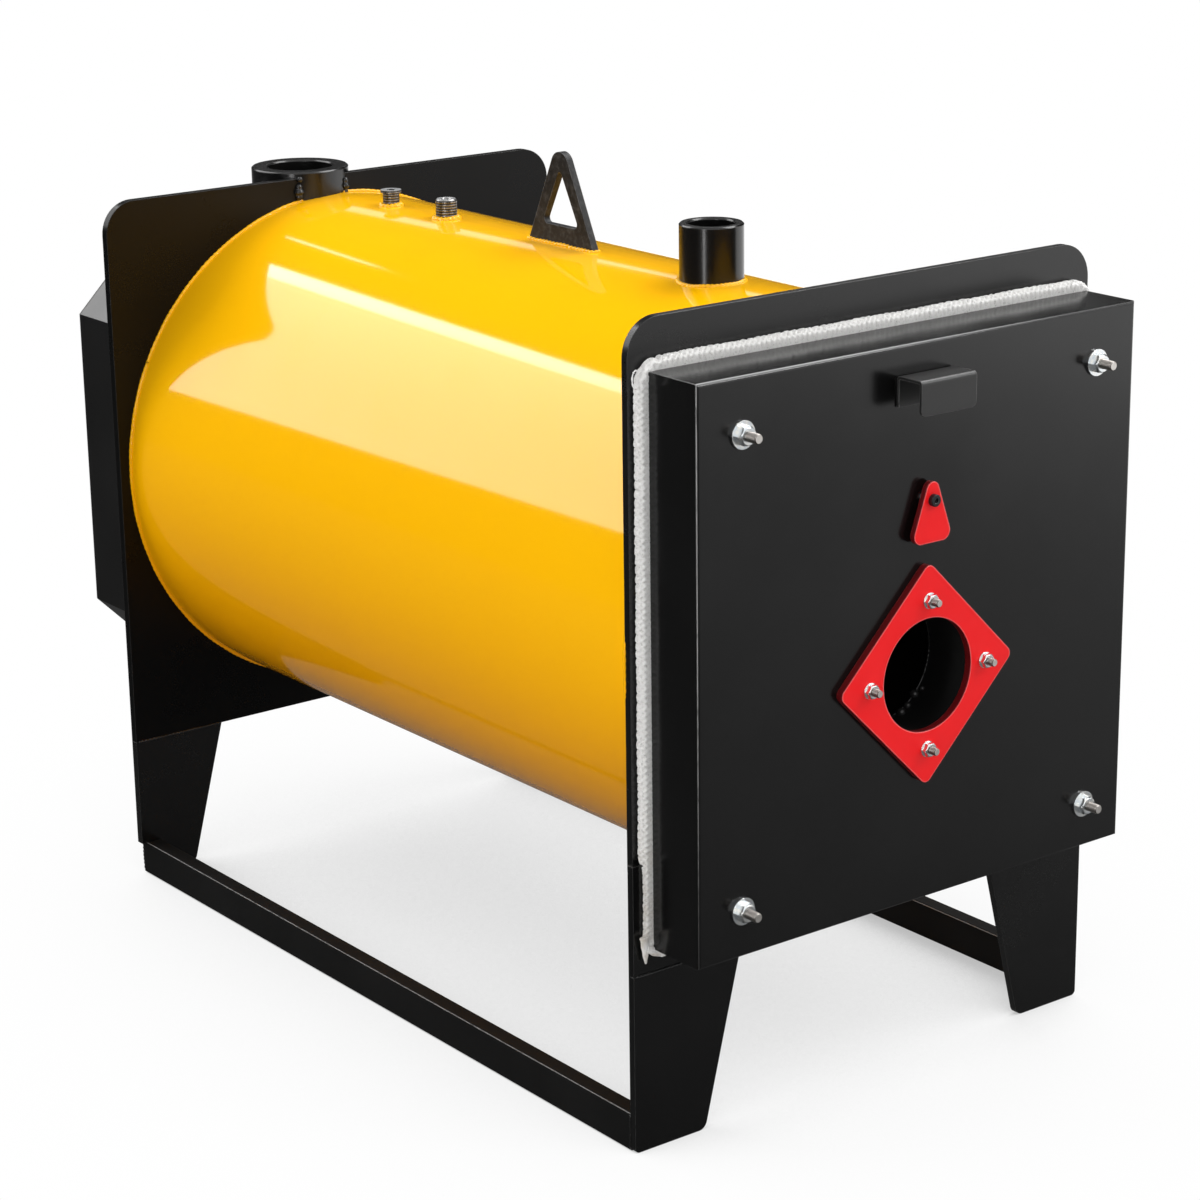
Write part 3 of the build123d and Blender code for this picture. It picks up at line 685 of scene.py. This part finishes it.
def make_studs(node, name, diameter, pitch, threaded):
    """Threaded rods where the node's studs are. The radius falls and rises once a pitch, and
    that wave turns once round the rod with each pitch, so it is a helix."""
    low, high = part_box(node)
    radius = diameter / 2
    columns = 20
    rows_a_turn = 6
    tip = low[1]
    start = tip + threaded
    rows = np.arange(0, threaded / pitch, 1 / rows_a_turn) * pitch
    place = np.concatenate([tip + rows, [start, high[1]]])
    chamfer = np.clip((place - tip) / (pitch * 0.7), 0, 1)
    turn = np.linspace(0, TAU, columns, endpoint=False)
    phase = place[:, None] / pitch - turn[None, :] / TAU
    wave = np.abs(2 * (phase - np.floor(phase)) - 1)
    depth = 0.54 * pitch * wave * (place < start)[:, None]
    rod = np.minimum(radius - depth, radius * (0.78 + 0.22 * chamfer)[:, None])
    shade = np.clip(wave * 1.25, 0, 1) * (place < start)[:, None] * (place > tip)[:, None]
    grids = []
    for x, z, foot in stud_centres(node):
        y = np.minimum(place, foot)
        grids.append(np.stack([x + rod * np.cos(turn)[None, :],
                               np.broadcast_to(y[:, None], rod.shape),
                               z + rod * np.sin(turn)[None, :]], axis=-1))
    piece = make_piece(name, grids, "stud_steel",
                       groove=np.tile(shade.ravel(), len(grids)))
    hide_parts(node)


def stud_centres(node):
    """X, Z and the inner end's Y of each rod of a node, from its vertices sorted into the
    four quarters round the node's middle: the door's rods stand at the corners of a rectangle,
    the burner's above, below and beside the middle."""
    mesh = nodes[node].data
    points = np.empty(len(mesh.vertices) * 3)
    mesh.vertices.foreach_get("co", points)
    points = points.reshape(-1, 3)
    gap = points - (points.min(axis=0) + points.max(axis=0)) / 2
    if node == "door_studs":
        quarter = (gap[:, 0] > 0) * 2 + (gap[:, 2] > 0)
    else:
        quarter = (gap[:, 0] > gap[:, 2]) * 2 + (gap[:, 0] > -gap[:, 2])
    found = []
    for i in range(4):
        own = points[quarter == i]
        centre = (own.min(axis=0) + own.max(axis=0)) / 2
        found.append((centre[0], centre[2], own[:, 1].max()))
    return found


def tube(path, radius, columns=12, closed=False):
    """Rings of points round a path: each ring stands across the path's direction there, with
    the radius of that place. Radius may be one number, or one per place."""
    path = np.asarray(path, dtype=float)
    if closed:
        ahead = np.roll(path, -1, axis=0) - np.roll(path, 1, axis=0)
    else:
        ahead = np.gradient(path, axis=0)
    ahead /= np.linalg.norm(ahead, axis=1)[:, None]
    helper = np.where(np.abs(ahead[:, 2:]) < 0.9, [[0.0, 0.0, 1.0]], [[1.0, 0.0, 0.0]])
    side = np.cross(ahead, helper)
    side /= np.linalg.norm(side, axis=1)[:, None]
    up = np.cross(side, ahead)
    turn = np.linspace(0, TAU, columns, endpoint=False)
    spoke = side[:, None] * np.cos(turn)[None, :, None] + up[:, None] * np.sin(turn)[None, :, None]
    return path[:, None] + spoke * np.reshape(radius, (-1, 1, 1))


def lumps(along, size, share, seed):
    """Ripples of a weld: rounded scales once every size, each a little larger or smaller than
    the last, as a factor on the bead's radius."""
    scale = np.abs(np.sin(np.pi * along / size + 0.6 * np.sin(along / size * 0.37 + seed)))
    drift = np.sin(along / size * 0.83 + seed) * np.sin(along / size * 0.29 + 2 * seed)
    return 1 + share * (scale - 0.6) + 0.5 * share * drift


def weld_line(start, end, radius, seed, size, share):
    """A straight bead, as rings whose radius ripples and closes to a point at both ends."""
    start = np.array(start, dtype=float)
    end = np.array(end, dtype=float)
    length = np.linalg.norm(end - start)
    along = np.linspace(0, length, max(12, int(length / (size / 5))))
    path = start + (end - start) * (along / length)[:, None]
    ends = np.clip(np.minimum(along, length - along) / (1.5 * radius), 0.05, 1) ** 0.5
    return tube(path, radius * lumps(along, size, share, seed) * ends, 10)


def weld_ring(centre, radius, bead, height, seed):
    """A bead round an upright socket where it leaves the barrel. It follows the line that the
    socket's circle makes on the barrel: height gives Z from X."""
    size = 0.0045
    turn = np.linspace(0, TAU, max(36, int(TAU * radius / (size / 5))), endpoint=False)
    x = centre[0] + radius * np.cos(turn)
    y = centre[1] + radius * np.sin(turn)
    waves = lumps(turn * radius, size, 0.3, seed)
    return tube(np.stack([x, y, height(x)], axis=1), bead * waves, 10, closed=True)


def drop(centre, radius):
    """A ball of weld metal: rings of points whose radius is the cosine of the latitude."""
    latitude = np.linspace(-1.5, 1.5, 11)[:, None]
    turn = np.linspace(0, TAU, 14, endpoint=False)[None, :]
    return np.stack([centre[0] + radius * np.cos(latitude) * np.cos(turn),
                     centre[1] + radius * np.cos(latitude) * np.sin(turn),
                     centre[2] + radius * np.sin(latitude) * np.ones_like(turn)], axis=-1)


def hoop(centre_x, centre_z, radius, count):
    """X and Z at even angles round a circle, and the angles."""
    turn = np.linspace(0, TAU, count, endpoint=False)
    return np.stack([centre_x + radius * np.cos(turn), centre_z + radius * np.sin(turn)],
                    axis=1), turn


def seam_ring(points, y, bead, along, scale, share, seed):
    """A bead round a closed line of X and Z in the plane at y, with the ripples of a weld."""
    path = np.stack([points[:, 0], np.full(len(points), y), points[:, 1]], axis=1)
    return tube(path, bead * lumps(along, scale, share, seed), 8, closed=True)


def make_barrel_welds():
    """Beads in the barrel's own paint: round the gauge sockets, the return socket and the foot
    of the lug, and where the barrel meets the two plates."""
    low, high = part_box("barrel_shell")
    radius = (high[0] - low[0]) / 2
    axis = (high[2] + low[2]) / 2
    rear_gauge_foot = 0.0095
    sunk = 0.0006

    def skin(x):
        return axis + np.sqrt(radius ** 2 - np.square(x))

    rings = []
    for node, bead, seed in (("rear_gauge_socket", 0.0040, 1.0),
                             ("front_gauge_socket", 0.0040, 2.0),
                             ("return_socket", 0.0027, 3.0)):
        box_low, box_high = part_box(node)
        centre = [(box_low[i] + box_high[i]) / 2 for i in range(2)]
        reach = (box_high[0] - box_low[0]) / 2
        if node == "rear_gauge_socket":
            reach = rear_gauge_foot
        rings.append(weld_ring(centre, reach + bead * 0.25, bead, lambda x: skin(x) - sunk, seed))
    box_low, box_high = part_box("lifting_lug")
    half = (box_high[0] - box_low[0]) / 2 + 0.0005
    corner = 0.003
    points, _, along = rounded_square_path((-half, box_low[1] - 0.001),
                                           (half, box_high[1] + 0.001), corner, 0.0009)
    path = np.stack([points[:, 0], points[:, 1], skin(points[:, 0])], axis=1)
    rings.append(tube(path, 0.0025 * lumps(along, 0.006, 0.45, 4.0), 10, closed=True))
    for y, seed in ((low[1] + sunk, 5.0), (high[1] - sunk, 6.0)):
        points, turn = hoop(0.0, axis, radius + 0.0004, 1500)
        rings.append(seam_ring(points, y, 0.0022, turn * radius, 0.007, 0.22, seed))
    make_piece("barrel_weld_beads", rings, "barrel_paint", rows_close=True)


def make_frame_welds():
    """Black beads on the frame: the rear plate to the flow socket, the legs to the plates above
    them, and the rails' ends to the legs."""
    plate_low, plate_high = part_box("rear_plate")
    apron_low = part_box("front_apron")[0]
    seams = []
    for side in ("left", "right"):
        for leg, plate, bead in (("front", apron_low, 0.0017), ("rear", plate_low, 0.0019)):
            leg_low, leg_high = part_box(leg + "_" + side + "_leg")
            y = plate[1] - 0.0002
            seams.append(((leg_low[0] + 0.002, y, plate[2]), (leg_high[0] - 0.002, y, plate[2]),
                          bead))
        rail_low, rail_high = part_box(side + "_rail")
        outer = rail_low[0] + 0.0006 if side == "left" else rail_high[0] - 0.0006
        for y in (rail_low[1] + 0.0003, rail_high[1] - 0.0003):
            seams.append(((outer, y, 0.003), (outer, y, rail_high[2] - 0.001), 0.0014))
    grids = [weld_line(start, end, bead, 1.3 * i, 0.005, 0.5)
             for i, (start, end, bead) in enumerate(seams)]
    socket_low, socket_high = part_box("flow_socket")
    centre_x = (socket_low[0] + socket_high[0]) / 2
    centre_y = (socket_low[1] + socket_high[1]) / 2
    reach = (socket_high[0] - socket_low[0]) / 2
    across = math.sqrt(reach ** 2 - (centre_y - plate_low[1]) ** 2)
    y = plate_low[1] - 0.0005
    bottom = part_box("barrel_shell")[1][2] - 0.004
    for x, seed in ((centre_x - across, 7.0), (centre_x + across, 8.0)):
        grids.append(weld_line((x, y, bottom), (x, y, socket_high[2] - 0.012), 0.0042, seed,
                               0.008, 0.75))
    grids.append(drop((centre_x - across + 0.001, plate_low[1] - 0.002, plate_high[2] - 0.001),
                      0.0036))
    make_piece("frame_weld_beads", grids, "weld_black")


def make_back_welds():
    """Black beads at the back: round the chamber on the rear plate, round the smoke box on the
    chamber and round the flue spigot on the smoke box."""
    low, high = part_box("rear_chamber")
    cut_corner = 0.121
    corners = np.array([(low[0], low[2] + cut_corner), (low[0], high[2] - cut_corner),
                        (low[0] + cut_corner, high[2]), (high[0] - cut_corner, high[2]),
                        (high[0], high[2] - cut_corner), (high[0], low[2] + cut_corner),
                        (high[0] - cut_corner, low[2]), (low[0] + cut_corner, low[2])])
    step = 0.0022
    scale, share = 0.006, 0.3
    points, _, along = walk_round(corners, step)
    rings = [seam_ring(points, low[1] + 0.0006, 0.0026, along, scale, share, 11.0)]
    low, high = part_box("smoke_box")
    edge_radius = 0.010
    points, _, along = rounded_square_path((low[0], low[2]), (high[0], high[2]), edge_radius, step)
    rings.append(seam_ring(points, low[1] + 0.0006, 0.0024, along, scale, share, 12.0))
    smoke_box_back = high[1]
    low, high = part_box("flue_spigot")
    reach = (high[0] - low[0]) / 2
    points, turn = hoop((low[0] + high[0]) / 2, (low[2] + high[2]) / 2, reach + 0.0003, 360)
    rings.append(seam_ring(points, smoke_box_back + 0.0004, 0.0022, turn * reach, scale, share,
                           13.0))
    make_piece("back_weld_beads", rings, "weld_black", rows_close=True)


def make_throat_welds():
    """The bead that runs round the inner end of the burner's throat, with four drops of
    spatter on its lower right."""
    low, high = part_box("burner_throat")
    centre_z = (low[2] + high[2]) / 2
    bore = (high[0] - low[0]) / 2 - 0.003
    end = high[1] - 0.0018
    points, turn = hoop(0.0, centre_z, bore, 480)
    ring = seam_ring(points, end, 0.0014, turn * bore, 0.005, 0.25, 2.0)
    make_piece("throat_weld_bead", [ring], "weld_black", rows_close=True)
    drops = []
    for degrees, size, ahead in ((-45, 0.0052, 0.001), (-57, 0.0040, 0.003),
                                 (-66, 0.0050, 0.004), (-38, 0.0030, 0.006)):
        angle = math.radians(degrees)
        drops.append(drop((bore * math.cos(angle), end - ahead,
                           centre_z + bore * math.sin(angle)), size))
    make_piece("throat_weld_drops", drops, "spatter_black")


make_camera()
make_world()
make_stage()

paints = {
    "black_paint": black_paint("black_paint"),
    # The door, handle and rails carry strong painted highlights on their edges and bends. The
    # door's highlights fade out low down.
    "door_paint": black_paint("door_paint", gloss=0.14, depth=0.003, edge_highlight_grey=0.42, bends=True,
                              highlight_fades_below=0.20),
    # The handle's black is painted lighter than the door's, as painted light on its front face.
    "handle_paint_lightened": black_paint("handle_paint_lightened", gloss=0.30, depth=0.016, edge_highlight_grey=0.16, bends=True),
    "rail_paint": black_paint("rail_paint", gloss=0.50, depth=0.009, shine=0.08, edge_highlight_grey=0.34,
                              bends=True),
    "rear_plate_paint": black_paint("rear_plate_paint", gloss=0.24, depth=0.002, shine=0.17),
    "chamber_paint": black_paint("chamber_paint", gloss=0.26, shine=0.70),
    "socket_paint": black_paint("socket_paint", gloss=0.16, depth=0.003, edge_highlight_grey=0.10),
    # The throat's black is painted lighter, as painted light inside the bore.
    "throat_paint_lightened": black_paint("throat_paint_lightened", gloss=0.30, depth=0.012),
    "gauge_steel": gauge_steel("gauge_steel"),
    "lug_steel": lug_steel("lug_steel"),
    "barrel_paint": barrel_paint("barrel_paint"),
    "weld_black": black_paint("weld_black", gloss=0.12, depth=0.006),
    "spatter_black": black_paint("spatter_black", gloss=0.15, depth=0.03),
    "red_paint": red_paint("red_paint"),
    "zinc_plate": zinc("zinc_plate"),
    "stud_steel": stud_steel("stud_steel"),
    "furnace_steel": dark_steel("furnace_steel"),
    "black_oxide": black_oxide("black_oxide"),
    "insulation": refractory("insulation"),
    "gasket_rope": rope_cloth("gasket_rope"),
}

# The nodes whose paint differs a little from their slot's own.
own_paints = {
    "door_pan": "door_paint",
    "door_handle": "handle_paint_lightened",
    "left_rail": "rail_paint",
    "right_rail": "rail_paint",
    "rear_plate": "rear_plate_paint",
    "rear_chamber": "chamber_paint",
    "flow_socket": "socket_paint",
    "return_socket": "socket_paint",
    "flue_spigot": "socket_paint",
    "burner_throat": "throat_paint_lightened",
    "rear_gauge_socket": "gauge_steel",
    "front_gauge_socket": "gauge_steel",
    "lifting_lug": "lug_steel",
}
for part in frame["record"]["subparts"]:
    piece = nodes[part["node"]]
    piece.data.materials.clear()
    piece.data.materials.append(paints[own_paints.get(part["node"], part["material_slot"])])

make_gasket()
make_gasket_ends()
make_barrel_welds()
make_frame_welds()
make_back_welds()
make_throat_welds()
make_studs("door_studs", "threaded_door_studs", diameter=0.010, pitch=0.0015, threaded=0.030)
make_studs("burner_studs", "threaded_burner_studs", diameter=0.008, pitch=0.00125,
           threaded=0.020)
